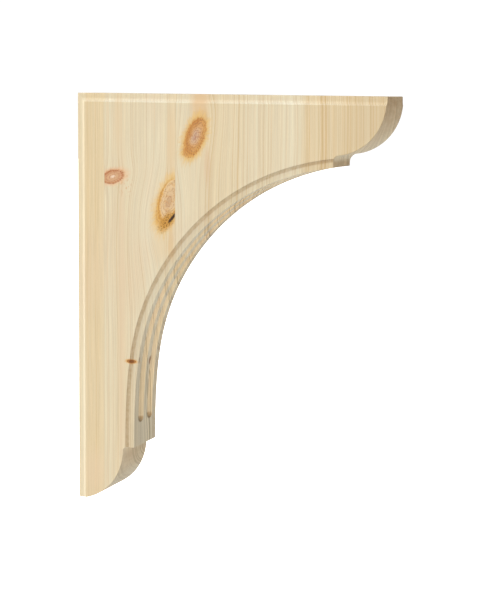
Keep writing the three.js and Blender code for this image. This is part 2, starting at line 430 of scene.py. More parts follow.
def board_loop(inset, across):
    past_arris = max(0.0, abs(across) - (HALF_THICKNESS - ARRIS_RADIUS))
    end_inset = ARRIS_RADIUS - math.sqrt(ARRIS_RADIUS**2 - past_arris**2)
    front = offset_line(front_end, end_inset)
    foot = offset_line(foot_end, -end_inset)
    reach = RUN_ON - TRIAL_MARGIN
    trial_lengths = np.linspace(-reach, EDGE_LENGTH + reach, TRIAL_POINTS)
    trial = edge_at(trial_lengths, inset)
    trial_running = running_length(trial)
    top_line = np.array([[-OVERHANG, TOP - inset], [PROJECTION + OVERHANG, TOP - inset]])
    wall_line = np.array([[inset, BOTTOM - OVERHANG], [inset, TOP + OVERHANG]])
    at_front, front_from = crossing(trial, front)
    at_foot, foot_from = crossing(trial, foot)
    front_to = crossing(front, top_line)[0]
    foot_to = crossing(foot, wall_line)[0]
    edge_from = np.interp(at_foot, trial_running, trial_lengths)
    edge_to = np.interp(at_front, trial_running, trial_lengths)
    lengths = edge_from + (edge_to - edge_from) * edge_shares
    depth = flute_depth(lengths, across) if inset == 0 else 0
    curve = edge_at(lengths, inset + depth)
    front_stretch = stretch_of(front, front_from, front_to, front_shares)
    foot_stretch = stretch_of(foot, foot_from, foot_to, foot_shares)
    curve[0] = foot_stretch[0]
    curve[-1] = front_stretch[0]
    top_left = np.array([inset, TOP - inset])
    top = front_stretch[-1] + (top_left - front_stretch[-1]) * straight_shares[:, None]
    wall = top_left + (foot_stretch[-1] - top_left) * straight_shares[:, None]
    return join_stretches([front_stretch, top, wall, foot_stretch[::-1], curve])


levels = [(inset, -across) for inset, across in section]
levels += [(0.0, across) for across in across_levels]
levels += [(inset, across) for inset, across in section[::-1]]
loops = [board_loop(inset, across) for inset, across in levels]
print("loops:", len(loops), "points in each:", len(loops[0]))


# %% Join the loops into the board's mesh
def mesh_from_loops(name, loops, levels):
    count = len(loops[0])
    bm = bmesh.new()
    rows = [
        [bm.verts.new((x * MM, across * MM, z * MM)) for x, z in loop]
        for loop, (_, across) in zip(loops, levels)
    ]
    for row, next_row in zip(rows, rows[1:]):
        for i in range(count):
            k = (i + 1) % count
            bm.faces.new((row[i], row[k], next_row[k], next_row[i]))
    bm.faces.new(rows[0])
    bm.faces.new(rows[-1])
    bmesh.ops.recalc_face_normals(bm, faces=bm.faces)
    mesh = bpy.data.meshes.new(name)
    bm.to_mesh(mesh)
    bm.free()
    return mesh


SHARP_ANGLE = math.radians(50)
board_mesh = mesh_from_loops("pine_board", loops, levels)
board_mesh.shade_smooth()
board_mesh.set_sharp_from_angle(angle=SHARP_ANGLE)
board = bpy.data.objects.new("pine_board", board_mesh)
bpy.context.scene.collection.objects.link(board)
weighted = board.modifiers.new("flat_faces_first", "WEIGHTED_NORMAL")
weighted.keep_sharp = True
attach(board, "root")
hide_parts("corbel_bracket")
print("board faces:", len(board_mesh.polygons))

# %% [markdown]
# The wood is worked out through the solid and not laid on its surface: each stave has its own pith
# somewhere beside it, and the growth rings round that pith are cut by every face. So the same rings are
# straight lines on the face, slanting bands on the underside of the curve and arcs on the noses. A flat
# picture of wood would need a separate layout for every side, and would show seams at the arrises.

# %% Helper that adds shader nodes and wires them
FACE_LIGHT = 1.1


def tone(red, green, blue):
    """Linear colour of wood that is to look like this 8-bit colour on the face of the board."""
    def linear(value):
        share = value / 255
        return share / 12.92 if share <= 0.04045 else ((share + 0.055) / 1.055) ** 2.4

    return tuple(linear(value) / FACE_LIGHT for value in (red, green, blue)) + (1.0,)


class Wires:
    """Adds nodes to one tree, and links or sets their inputs."""

    def __init__(self, tree):
        self.tree = tree

    def feed(self, socket, value):
        if isinstance(value, bpy.types.NodeSocket):
            self.tree.links.new(value, socket)
        else:
            socket.default_value = value

    def node(self, kind, inputs=None, **settings):
        node = self.tree.nodes.new(kind)
        for name, value in settings.items():
            setattr(node, name, value)
        for key, value in (inputs or {}).items():
            self.feed(node.inputs[key], value)
        return node

    def maths(self, operation, *values, clamp=False):
        node = self.node("ShaderNodeMath", operation=operation, use_clamp=clamp)
        for socket, value in zip(node.inputs, values):
            self.feed(socket, value)
        return node.outputs[0]

    def times(self, first, *others):
        for other in others:
            first = self.maths("MULTIPLY", first, other)
        return first

    def vector(self, operation, *values):
        node = self.node("ShaderNodeVectorMath", operation=operation)
        for socket, value in zip(node.inputs, values):
            self.feed(socket, value)
        return node.outputs[0]

    def scaled(self, vector, factor):
        inputs = {0: vector, "Scale": factor}
        return self.node("ShaderNodeVectorMath", inputs, operation="SCALE").outputs[0]

    def length(self, vector):
        return self.node("ShaderNodeVectorMath", {0: vector}, operation="LENGTH").outputs["Value"]

    def join(self, x, y, z):
        return self.node("ShaderNodeCombineXYZ", {"X": x, "Y": y, "Z": z}).outputs[0]

    def noise(self, place, scale, detail=2.0, roughness=0.5, distortion=0.0):
        inputs = {"Vector": place, "Scale": scale, "Detail": detail, "Roughness": roughness}
        node = self.node("ShaderNodeTexNoise", {**inputs, "Distortion": distortion})
        return node.outputs[0]

    def stretched(self, place, stretch, detail=2.0, roughness=0.5):
        """Noise with its own scale along each axis: it is drawn out where the scale is small."""
        return self.noise(self.vector("MULTIPLY", place, stretch), 1.0, detail, roughness)

    def span(self, value, start, end, low=0.0, high=1.0, smooth=True):
        """Low before start, high after end, and a steady or eased change between them."""
        kind = "SMOOTHSTEP" if smooth else "LINEAR"
        inputs = {0: value, 1: start, 2: end, 3: low, 4: high}
        return self.node("ShaderNodeMapRange", inputs, interpolation_type=kind).outputs[0]

    def ramp(self, value, stops, interpolation="LINEAR"):
        node = self.node("ShaderNodeValToRGB", {0: value})
        node.color_ramp.interpolation = interpolation
        elements = node.color_ramp.elements
        elements[0].position = stops[0][0]
        elements[1].position = stops[-1][0]
        for position, _ in stops[1:-1]:
            elements.new(position)
        for element, (_, colour) in zip(elements, stops):
            element.color = colour if isinstance(colour, tuple) else (colour, colour, colour, 1.0)
        return node.outputs[0]

    def mix(self, factor, first, second, blend="MIX"):
        node = self.node("ShaderNodeMix", data_type="RGBA", blend_type=blend)
        self.feed(node.inputs[0], factor)
        self.feed(node.inputs[6], first)
        self.feed(node.inputs[7], second)
        return node.outputs[2]

    def blend(self, factor, first, second):
        """The same for two values instead of two colours."""
        return self.node("ShaderNodeMix", {0: factor, 2: first, 3: second}).outputs[0]

    def tinted(self, mask, colour, tint):
        return self.mix(mask, colour, self.mix(1.0, colour, tint, "MULTIPLY"))


print("the face is lit", FACE_LIGHT, "times as strongly as a tone of its own strength needs")


# %% [markdown]
# A knot is a branch that grew out of the pith and was cut across by the face. It is a leaning ellipse
# whose rim is uneven. It narrows towards the back of the board, and the grain round it swings out and
# closes again. One group of nodes gives the distance from the knot's heart, the direction, and how far
# the grain is pushed aside. The four knots then differ only in their sizes and colours.

# %% Node group for one knot
knot_group = bpy.data.node_groups.new("knot", "ShaderNodeTree")
for socket_name, socket_kind in (
    ("Place", "NodeSocketVector"),
    ("Heart", "NodeSocketVector"),
    ("Half Width", "NodeSocketFloat"),
    ("Half Height", "NodeSocketFloat"),
    ("Lean", "NodeSocketFloat"),
    ("Grain Reach", "NodeSocketFloat"),
):
    knot_group.interface.new_socket(socket_name, in_out="INPUT", socket_type=socket_kind)
for socket_name in ("Distance", "Direction", "Push", "Wide", "High"):
    knot_group.interface.new_socket(socket_name, in_out="OUTPUT", socket_type="NodeSocketFloat")

BRANCH_NARROWING = 0.011
BRANCH_DRIFT = (0.10, 0.0, -0.22)
RIM_UNEVENNESS = 0.20


def fill_knot_group(tree):
    wires = Wires(tree)
    given = wires.node("NodeGroupInput").outputs
    gap = wires.vector("SUBTRACT", given["Place"], given["Heart"])
    depth = wires.node("ShaderNodeSeparateXYZ", {0: gap}).outputs["Y"]
    gap = wires.vector("SUBTRACT", gap, wires.scaled(BRANCH_DRIFT, depth))
    leaned = wires.node(
        "ShaderNodeVectorRotate", {"Vector": gap, "Angle": given["Lean"]}, rotation_type="Y_AXIS"
    )
    parts = wires.node("ShaderNodeSeparateXYZ", {0: leaned.outputs[0]}).outputs
    narrowing = wires.maths("SUBTRACT", 1.0, wires.times(depth, BRANCH_NARROWING))
    wide = wires.maths("DIVIDE", parts["X"], wires.times(given["Half Width"], narrowing))
    high = wires.maths("DIVIDE", parts["Z"], wires.times(given["Half Height"], narrowing))
    even = wires.length(wires.join(wide, 0.0, high))
    wander = wires.maths("SUBTRACT", wires.noise(given["Place"], 0.22, 3.0, 0.6), 0.5)
    uneven = wires.maths("MULTIPLY_ADD", wander, RIM_UNEVENNESS * 2, even)
    direction = wires.maths("ARCTAN2", high, wide)
    long_high = wires.maths("DIVIDE", high, given["Grain Reach"])
    long_wide = wires.times(wide, 0.5)
    wide_square = wires.times(long_wide, long_wide)
    spread = wires.maths("MULTIPLY_ADD", long_high, long_high, wide_square)
    fading = wires.maths("EXPONENT", wires.times(spread, -1.0))
    gap_x = wires.node("ShaderNodeSeparateXYZ", {0: gap}).outputs["X"]
    push = wires.times(gap_x, fading)
    wires.node(
        "NodeGroupOutput",
        {"Distance": uneven, "Direction": direction, "Push": push, "Wide": wide, "High": high},
    )


fill_knot_group(knot_group)
print("knot group nodes:", len(knot_group.nodes))

# %% The four knots, the bark and its stain, with their hearts in millimetres on the face of the board
FACE_Y = -HALF_THICKNESS
KNOTS = {
    "tall": dict(heart=(90.0, 116.0), half_width=7.0, half_height=14.4, lean=22.0, reach=2.4),
    "cut_by_joint": dict(heart=(70.6, 70.2), half_width=8.0, half_height=17.8, lean=19.0, reach=2.1),
    "small": dict(heart=(28.4, 87.5), half_width=9.6, half_height=4.8, lean=-14.0, reach=2.2),
    "spike": dict(heart=(42.2, -42.3), half_width=3.4, half_height=1.45, lean=0.0, reach=5.0),
    "bark": dict(heart=(73.6, 60.2), half_width=1.35, half_height=6.2, lean=38.0, reach=1.0),
    "bark_stain": dict(heart=(69.6, 57.6), half_width=4.4, half_height=9.0, lean=38.0, reach=1.0),
}
PUSH_STRENGTH = {"tall": 0.55, "cut_by_joint": 0.85, "small": 0.3, "spike": 0.4}
print("knots and bark:", ", ".join(KNOTS))

# %% [markdown]
# The board was glued up from a few staves before it was cut. The joints show because the rings and the
# tone change there. The widest stave on the right is quarter-sawn, with close, even lines.

# %% The staves: where each begins, its pith, its ring spacing and its warmth
STAVES = (
    dict(start=-1.0, pith=(96.0, 40.0), spacing=2.4, contrast=0.5),
    dict(start=21.7, pith=(150.0, 30.0), spacing=1.75, contrast=0.75),
    dict(start=75.8, pith=(240.0, 50.0), spacing=2.0, contrast=0.8),
    dict(start=169.4, pith=(290.0, 40.0), spacing=1.75, contrast=1.5),
)
WARMTH_ALONG_X = (
    # From the wall to about 6 mm lies the moulding: its low warmth is partly a painted highlight on the
    # hollow.
    (0.0, 0.40),
    (5.6, 0.42),
    (6.6, 0.82),
    (18.0, 0.86),
    (21.5, 0.78),
    (21.9, 0.16),
    (30.0, 0.14),
    (33.5, 0.36),
    (37.5, 0.40),
    (41.0, 0.10),
    (56.0, 0.02),
    (64.0, 0.14),
    (75.6, 0.50),
    (76.0, 0.08),
    (86.0, 0.12),
    (104.0, 0.42),
    (122.0, 0.38),
    (127.0, 0.16),
    (150.0, 0.05),
    (166.0, 0.12),
    (169.6, 0.62),
    (184.0, 0.66),
    (187.5, 0.40),
    (190.0, 0.62),
    (200.0, 0.86),
    (206.0, 0.66),
    (225.0, 0.72),
)
print("staves:", len(STAVES), "joints at", [stave["start"] for stave in STAVES[1:]], "mm from the wall")

# %% Wood of the board
pine = bpy.data.materials.new("pine")
pine.use_nodes = True
pine.node_tree.nodes.clear()
w = Wires(pine.node_tree)

object_place = w.node("ShaderNodeTexCoord").outputs["Object"]
place = w.scaled(object_place, 1 / MM)
place_parts = w.node("ShaderNodeSeparateXYZ", {0: place}).outputs
x, y, z = place_parts["X"], place_parts["Y"], place_parts["Z"]
normal = w.node("ShaderNodeNewGeometry").outputs["Normal"]
normal_parts = w.node("ShaderNodeSeparateXYZ", {0: normal}).outputs
from_mid = w.maths("ABSOLUTE", y)
facing_y = w.maths("ABSOLUTE", normal_parts["Y"])
end_grain = w.span(w.maths("ABSOLUTE", normal_parts["Z"]), 0.15, 0.85)

knots = {}
for name, sizes in KNOTS.items():
    heart_x, heart_z = sizes["heart"]
    knot = w.node("ShaderNodeGroup", node_tree=knot_group)
    for key, value in {
        "Place": place,
        "Heart": (heart_x, FACE_Y, heart_z),
        "Half Width": sizes["half_width"],
        "Half Height": sizes["half_height"],
        "Lean": math.radians(-sizes["lean"]),
        "Grain Reach": sizes["reach"],
    }.items():
        w.feed(knot.inputs[key], value)
    knots[name] = knot.outputs
print("knots placed:", len(knots))

# %% [markdown]
# Each ring is pale early wood that darkens to a thin line of late wood, and then starts again. The number
# of rings from the pith, with uneven years, gives that line on every face at once. A wave texture would be
# shorter, but its lines are all as strong and as far apart, which looks printed.

# %% Growth rings, pushed aside by the knots of the same stave
WANDER_STRETCH = (0.02, 0.03, 0.012)
WANDER_REACH = 3.0
RING_WAVES = 0.16
RING_UNEVENNESS = 3.0
COUNT_BETWEEN_STAVES = 7.3
LATE_WOOD_STOPS = ((0.0, 0.35), (0.06, 0.05), (0.45, 0.12), (0.80, 0.62), (0.93, 1.0), (1.0, 0.35))
YEAR_STRENGTH = (0.35, 0.9)
in_second_stave = w.times(
    w.maths("GREATER_THAN", x, STAVES[1]["start"]), w.maths("LESS_THAN", x, STAVES[2]["start"])
)
after_second_joint = w.maths("GREATER_THAN", x, STAVES[2]["start"])
slow_wander = w.stretched(place, WANDER_STRETCH)
grain_x = w.maths("MULTIPLY_ADD", w.maths("SUBTRACT", slow_wander, 0.5), WANDER_REACH, x)
for name, strength in PUSH_STRENGTH.items():
    same_stave = after_second_joint if name == "tall" else in_second_stave
    push = w.times(knots[name]["Push"], same_stave)
    grain_x = w.maths("MULTIPLY_ADD", push, -strength, grain_x)

ring_count = None
for index, stave in enumerate(STAVES):
    pith_x, pith_y = stave["pith"]
    away_x = w.maths("SUBTRACT", grain_x, pith_x)
    away_y = w.maths("SUBTRACT", y, pith_y)
    radius = w.length(w.join(away_x, away_y, 0.0))
    inputs = {"W": w.times(radius, RING_WAVES), "Detail": 1.0}
    uneven = w.node("ShaderNodeTexNoise", inputs, noise_dimensions="1D").outputs[0]
    count = w.maths("DIVIDE", radius, stave["spacing"])
    count = w.maths("ADD", count, index * COUNT_BETWEEN_STAVES)
    count = w.maths("MULTIPLY_ADD", uneven, RING_UNEVENNESS, count)
    if ring_count is None:
        ring_count, contrast = count, stave["contrast"]
    else:
        here = w.maths("GREATER_THAN", x, stave["start"])
        ring_count = w.blend(here, ring_count, count)
        contrast = w.blend(here, contrast, stave["contrast"])

late_wood = w.ramp(w.maths("FRACT", ring_count), LATE_WOOD_STOPS)
year = w.maths("FLOOR", ring_count)
year_draw = w.node("ShaderNodeTexWhiteNoise", {"W": year}, noise_dimensions="1D").outputs["Value"]
strong_year = w.maths("MULTIPLY_ADD", year_draw, YEAR_STRENGTH[1], YEAR_STRENGTH[0])
late_wood = w.times(late_wood, strong_year)
print("nodes up to the rings:", len(pine.node_tree.nodes))

# %% Fibres and broad streaks, which run along the grain
FIBRE_STRETCH = (1.6, 1.6, 0.02)
PORE_STRETCH = (5.0, 5.0, 0.35)
STREAK_STRETCH = (0.16, 0.05, 0.006)
CLOUD_STRETCH = (0.03, 0.03, 0.012)
grain_place = w.join(grain_x, y, z)
fibres = w.stretched(grain_place, FIBRE_STRETCH, 4.0, 0.65)
pores = w.stretched(place, PORE_STRETCH)
streaks = w.stretched(grain_place, STREAK_STRETCH, 3.0, 0.55)
cloud = w.stretched(place, CLOUD_STRETCH)
print("fibres are", round(FIBRE_STRETCH[0] / FIBRE_STRETCH[2]), "times as long as they are wide")

# %% [markdown]
# Planed pine is cream to pale tan, and each stave has its own warmth. The tones are what the face shows in
# even light. They change from the wall outwards, since a stave runs upright and keeps its tone along its
# length. The wall moulding is kept paler, partly as a painted highlight where its hollow faces the
# upper-left light. The ring lines are stronger on the underside, where the cut meets the grain at a slant.

# %% Wood colour from warmth, rings and fibres
PALE = tone(233, 221, 191)
WARM = tone(230, 208, 166)
LATE = tone(206, 168, 112)
LATE_ON_EDGE = tone(154, 131, 98)
PEACH = tone(231, 205, 172)
FACE_LINES = 0.80
ENDS_LINES = 0.48
UNDERSIDE_LINES = 0.82

across = w.maths("DIVIDE", x, PROJECTION, clamp=True)
warmth = w.ramp(across, [(position / PROJECTION, value) for position, value in WARMTH_ALONG_X])
warmth = w.maths("MULTIPLY_ADD", w.maths("SUBTRACT", streaks, 0.5), 0.9, warmth, clamp=True)
colour = w.mix(warmth, PALE, WARM)
colour = w.mix(w.span(cloud, 0.50, 0.72, 0.0, 0.30), colour, PEACH)
off_face = w.span(from_mid, fillet_y - 0.1, fillet_y - 0.4)
on_edge = w.maths("MAXIMUM", w.span(facing_y, 0.9, 0.2), off_face)
foot_step_z = BOTTOM + FOOT_STEP_RISE
edge_strength = w.span(z, foot_step_z - 0.6, foot_step_z + 0.9, ENDS_LINES, UNDERSIDE_LINES)
line_strength = w.blend(on_edge, w.times(contrast, FACE_LINES), edge_strength)
late_tone = w.mix(on_edge, LATE, LATE_ON_EDGE)
colour = w.mix(w.times(late_wood, line_strength), colour, late_tone)
fibre_shade = w.span(fibres, 0.32, 0.68, 0.90, 1.06, smooth=False)
pore_shade = w.span(pores, 0.25, 0.75, 0.96, 1.03, smooth=False)
shade = w.times(fibre_shade, pore_shade)
colour = w.mix(1.0, colour, w.join(shade, shade, shade), "MULTIPLY")
print("nodes up to the plain wood:", len(pine.node_tree.nodes))

# %% [markdown]
# The cut surfaces differ a little from the planed face. End grain is greyer. The flute walls are yellower,
# and painted lighter as painted light where they face the front. The upper and the wall hollow are painted
# paler, a painted highlight where they face the upper-left light. Each is the colour so far times a tint,
# under a mask that comes from the place and from the way the surface faces. Separate materials would need
# edges between them in the mesh.

# %% End grain is a little darker and greyer than the side of the grain
END_SHADE = (0.97, 0.995, 1.035, 1.0)
colour = w.tinted(end_grain, colour, END_SHADE)

# %% Painted light on the walls of the flutes, which are also a little yellower
FLUTE_WALL_LIGHT_AND_TINT = (1.21, 1.11, 0.99, 1.0)
from_flute = w.maths("SUBTRACT", from_mid, FLUTE_SPACING / 2)
in_flute = w.span(w.maths("ABSOLUTE", from_flute), half_mouth - 0.3, half_mouth + 0.1, 1.0, 0.0)
lit_flute_wall = w.times(in_flute, w.span(facing_y, 0.10, 0.45))
# Painted light: the flute walls are made lighter where they face the front, and a little yellower.
colour = w.tinted(lit_flute_wall, colour, FLUTE_WALL_LIGHT_AND_TINT)

# %% Painted highlight: the upper and the wall hollow, which face the upper-left light, are painted paler than the planed face
HOLLOW_HIGHLIGHT_TINT = (1.07, 1.10, 1.16, 1.0)
towards_curve = w.maths("SUBTRACT", normal_parts["X"], normal_parts["Z"])
in_hollow = w.times(
    w.span(from_mid, HALF_THICKNESS - 1.95, HALF_THICKNESS - 1.6),
    w.span(from_mid, HALF_THICKNESS - 0.02, HALF_THICKNESS - 0.2),
    w.span(facing_y, 0.35, 0.55),
)
highlighted_hollow = w.times(in_hollow, w.span(towards_curve, 0.0, -0.25))
# Painted highlight on the upper and the wall hollow.
colour = w.tinted(highlighted_hollow, colour, HOLLOW_HIGHLIGHT_TINT)
print("flutes and hollows tinted by", FLUTE_WALL_LIGHT_AND_TINT[:3], "and", HOLLOW_HIGHLIGHT_TINT[:3])

# %% [markdown]
# Resin and the grain round the knots leave warm streaks and patches on the face. Each is a soft upright
# ellipse whose edge follows the fibres. They are placed one by one, because noise alone would put them
# where the photograph has none.

# %% Stained streaks and patches on the face
PATCH_FADE = (0.3, 1.5)


def patch_mask(place, centre, half_size):
    """One at the centre of an upright ellipse on the face, and fading out past its half sizes."""
    shift = w.vector("SUBTRACT", place, (centre[0], 0.0, centre[1]))
    scaled = w.vector("MULTIPLY", shift, (1 / half_size[0], 0.0, 1 / half_size[1]))
    return w.span(w.length(scaled), *PATCH_FADE, 1.0, 0.0)


STREAKS = (
    dict(centre=(93.4, 140.0), half_size=(6.4, 15.0), tone=tone(226, 193, 149), strength=0.90),
    dict(centre=(99.6, 97.0), half_size=(2.4, 13.0), tone=tone(220, 188, 150), strength=0.60),
    dict(centre=(72.6, 112.0), half_size=(3.4, 26.0), tone=tone(229, 202, 160), strength=0.65),
    dict(centre=(66.0, 44.0), half_size=(7.0, 14.0), tone=tone(228, 204, 162), strength=0.45),
    dict(centre=(72.8, 42.0), half_size=(2.2, 12.0), tone=tone(222, 188, 140), strength=0.60),
    dict(centre=(35.2, -10.0), half_size=(2.6, 120.0), tone=tone(227, 201, 166), strength=0.55),
    dict(centre=(32.0, 128.0), half_size=(3.0, 22.0), tone=tone(229, 204, 164), strength=0.50),
    dict(centre=(14.0, -124.0), half_size=(8.0, 16.0), tone=tone(233, 205, 172), strength=0.35),
    dict(centre=(216.0, 126.0), half_size=(24.0, 34.0), tone=tone(214, 193, 156), strength=0.50),
)
streak_edge = w.times(w.maths("SUBTRACT", fibres, 0.5), 3.0)
streak_place = w.vector("ADD", place, w.join(streak_edge, 0.0, 0.0))
for streak in STREAKS:
    mask = patch_mask(streak_place, streak["centre"], streak["half_size"])
    mask = w.times(mask, w.span(y, -10.0, 10.0, streak["strength"], 0.0))
    colour = w.mix(mask, colour, streak["tone"])
print("streaks and patches:", len(STREAKS))

# %% [markdown]
# A cut knot shows the branch's own rings round its heart, a dark rim where its bark was, and a warm halo
# with fine dark hairs that spread into the wood. One loop colours all four from the distance and the
# direction that the knot group gives. The core of a knot lies off its middle, as the branch leaned.

# %% Knot colours by distance from the heart, with hairs that spread from the rim
near_face = w.span(y, -17.0, -12.0, 1.0, 0.0)
KNOT_LOOKS = {
    "tall": dict(
        inside=((0.0, tone(198, 164, 142)), (0.26, tone(216, 180, 142)), (0.46, tone(216, 168, 112)),
                (0.64, tone(208, 152, 88)), (0.88, tone(196, 130, 64)), (1.0, tone(214, 156, 84))),
        core=(-0.18, -0.14), rings=6.5, ring_tone=tone(160, 102, 74), blotch=tone(188, 116, 62),
        halo=tone(230, 186, 104), hair=tone(196, 136, 66), where=after_second_joint,
    ),
    "cut_by_joint": dict(
        inside=((0.0, tone(200, 160, 120)), (0.30, tone(222, 190, 146)), (0.70, tone(230, 200, 154)),
                (0.80, tone(222, 170, 90)), (0.92, tone(204, 142, 60)), (1.0, tone(224, 176, 98))),
        core=(-0.04, -0.24), rings=4.4, ring_tone=tone(182, 128, 86), blotch=tone(214, 160, 92),
        halo=tone(232, 192, 120), hair=tone(206, 154, 84), where=in_second_stave,
    ),
    "small": dict(
        inside=((0.0, tone(240, 218, 192)), (0.24, tone(218, 176, 134)), (0.58, tone(210, 162, 118)),
                (0.78, tone(192, 126, 80)), (0.93, tone(174, 104, 60)), (1.0, tone(216, 164, 116))),
        core=(0.05, 0.10), rings=3.4, ring_tone=tone(190, 120, 90), blotch=tone(206, 140, 104),
        halo=tone(234, 196, 154), hair=tone(204, 138, 96), where=in_second_stave,
    ),
    "spike": dict(
        inside=((0.0, tone(168, 112, 60)), (0.25, tone(146, 92, 46)), (0.60, tone(168, 108, 54)),
                (0.80, tone(198, 138, 74)), (0.95, tone(220, 166, 98)), (1.0, tone(228, 182, 116))),
        core=(0.0, 0.0), rings=1.0, ring_tone=tone(150, 96, 52), blotch=tone(176, 114, 58),
        halo=tone(230, 180, 110), hair=tone(206, 146, 78), where=near_face,
    ),
}
for name, look in KNOT_LOOKS.items():
    knot = knots[name]
    hair_place = w.join(
        w.times(knot["Direction"], 8.0), w.times(knot["Distance"], 1.2), 0.0
    )
    hairs = w.noise(hair_place, 1.0, 4.0, 0.75)
    mottle = w.noise(place, 0.42, 4.0, 0.7, 0.8)
    off_core = w.maths("MULTIPLY_ADD", knot["Wide"], look["core"][0], knot["Distance"])
    off_core = w.maths("MULTIPLY_ADD", knot["High"], look["core"][1], off_core)
    off_core = w.maths("MULTIPLY_ADD", w.maths("SUBTRACT", mottle, 0.5), 0.22, off_core)
    inside = w.ramp(off_core, look["inside"])
    inside = w.mix(w.span(mottle, 0.50, 0.66, 0.0, 0.65), inside, look["blotch"])
    right_side = w.span(knot["Wide"], -0.2, 0.8, 0.30, 0.90)
    open_rim = w.times(w.span(hairs, 0.47, 0.60), right_side)
    open_rim = w.times(open_rim, w.span(off_core, 0.45, 0.75))
    inside = w.mix(open_rim, inside, look["halo"])
    knot_ring = w.maths("FRACT", w.times(off_core, look["rings"]))
    ring_line = w.ramp(knot_ring, ((0.0, 0.0), (0.50, 0.0), (0.84, 1.0), (1.0, 0.0)))
    speckle = w.span(w.noise(place, 1.1, 2.0, 0.6), 0.44, 0.60)
    ring_line = w.times(ring_line, w.maths("MULTIPLY_ADD", speckle, 0.80, 0.20))
    inside = w.mix(ring_line, inside, look["ring_tone"])
    halo_mask = w.span(w.maths("MULTIPLY_ADD", hairs, 1.15, knot["Distance"]), 1.42, 2.20, 0.88, 0.0)
    halo_mask = w.times(halo_mask, look["where"])
    colour = w.mix(halo_mask, colour, look["halo"])
    stray_hairs = w.times(halo_mask, w.span(hairs, 0.50, 0.64, 0.0, 0.8))
    colour = w.mix(stray_hairs, colour, look["hair"])
    inside_mask = w.span(w.maths("MULTIPLY_ADD", hairs, 0.42, knot["Distance"]), 1.10, 1.32, 1.0, 0.0)
    colour = w.mix(w.times(inside_mask, look["where"]), colour, inside)
print("nodes up to the knots:", len(pine.node_tree.nodes))

# %% Torn fibres below and beside the small knot
DASH_TONE = tone(216, 168, 122)
DASH_STRETCH = (0.75, 0.75, 0.32)
DASH_STRENGTH = 0.65
dashes = w.span(w.stretched(place, DASH_STRETCH), 0.55, 0.63)
near_small_knot = patch_mask(place, (38.0, 81.5), (5.5, 8.0))
dashes = w.times(dashes, near_small_knot, near_face, DASH_STRENGTH)
colour = w.mix(dashes, colour, DASH_TONE)
print("torn fibres drawn", round(1 / DASH_STRETCH[2], 1), "mm long")

# %% Bark caught beside the knot that the joint cuts, and the branch that the rear flute cuts into
BARK = tone(64, 44, 28)
BARK_STAIN = tone(206, 150, 66)
BARK_CRUMB = tone(118, 74, 34)
grit = w.noise(place, 0.8, 3.0, 0.7)
stain_reach = w.maths("MULTIPLY_ADD", grit, 0.9, knots["bark_stain"]["Distance"])
stain = w.times(w.span(stain_reach, 0.95, 1.75, 0.9, 0.0), in_second_stave)
colour = w.mix(stain, colour, BARK_STAIN)
crumbs = w.span(w.noise(place, 1.0, 3.0, 0.65), 0.53, 0.60)
colour = w.mix(w.times(stain, crumbs), colour, BARK_CRUMB)
bark_reach = w.maths("MULTIPLY_ADD", grit, 1.3, knots["bark"]["Distance"])
bark = w.times(w.span(bark_reach, 1.15, 1.65, 1.0, 0.0), in_second_stave, near_face)
colour = w.mix(bark, colour, BARK)

BRANCH = tone(150, 104, 70)
BRANCH_PLACES = (
    dict(centre=(45.5, 4.8, -44.4), half_size=(5.0, 5.2, 4.6), strength=0.95),
    dict(centre=(48.2, -16.6, -42.0), half_size=(3.0, 1.2, 3.0), strength=0.55),
)
for branch in BRANCH_PLACES:
    from_centre = w.vector("SUBTRACT", place, branch["centre"])
    reach = w.length(w.vector("DIVIDE", from_centre, branch["half_size"]))
    colour = w.mix(w.span(reach, 0.65, 1.10, branch["strength"], 0.0), colour, BRANCH)
print("branch shows in", len(BRANCH_PLACES), "places")

# %% [markdown]
# The plain ends, the front step and the flute ends are darker and browner: partly the brown that the
# cutters left where they turned or crossed the grain, and partly painted shade on the sides turned from the
# light. The hollow along the curve and the rear strip of the underside are darkened as painted shade, since
# they face away from the lamps. All of it is one darker and warmer tint, under masks from the place and the
# facing, broken up by noise.

# %% Darker brown on the plain ends and the front step: partly scorch, partly painted shade on the sides turned from the light
SCORCH_AND_SHADE_TINT = (0.66, 0.54, 0.43, 1.0)
SCORCH_AND_SHADE_STRETCH = (0.3, 0.12, 0.3)
FRONT_STEP_DARKENING = 0.75
UPPER_FOOT_DARKENING = 0.45
step_x = float(front_corner[0])
on_front_end = w.times(w.span(x, 200.0, 206.0), w.span(z, 104.0, 146.0))
on_front_step = w.times(
    w.span(z, 104.5, 100.0), w.maths("COMPARE", x, step_x, 1.2), FRONT_STEP_DARKENING
)
on_foot_end = w.maths(
    "MAXIMUM", w.span(z, -132.0, -142.0), w.span(z, -106.0, -112.0, 0.0, UPPER_FOOT_DARKENING)
)
on_foot_end = w.times(on_foot_end, w.span(x, 2.0, 6.0))
scorch_and_shade = w.maths("MAXIMUM", w.maths("MAXIMUM", on_front_end, on_front_step), on_foot_end)
off_the_face = w.span(facing_y, 0.75, 0.35)
not_upward = w.span(normal_parts["Z"], 0.9, 0.6)
# Only sides turned from the face and not facing up are darkened: partly scorch, partly painted shade.
scorch_and_shade = w.times(scorch_and_shade, off_the_face, not_upward)

# %% Darker brown at the flute ends, partly scorch and partly painted shade, and painted shade on the rear strip of the underside and the hollow along the curve
REAR_STRIP_FROM = (11.7, 12.4)
REAR_STRIP_SHADE = 0.45
CURVE_HOLLOW_SHADE = 0.75
LOWEST_UPPER_FLUTE_END = TOP - 40.0
on_flute_end = w.times(
    in_flute,
    w.span(normal_parts["Z"], 0.10, 0.45),
    w.maths("LESS_THAN", z, LOWEST_UPPER_FLUTE_END),
)
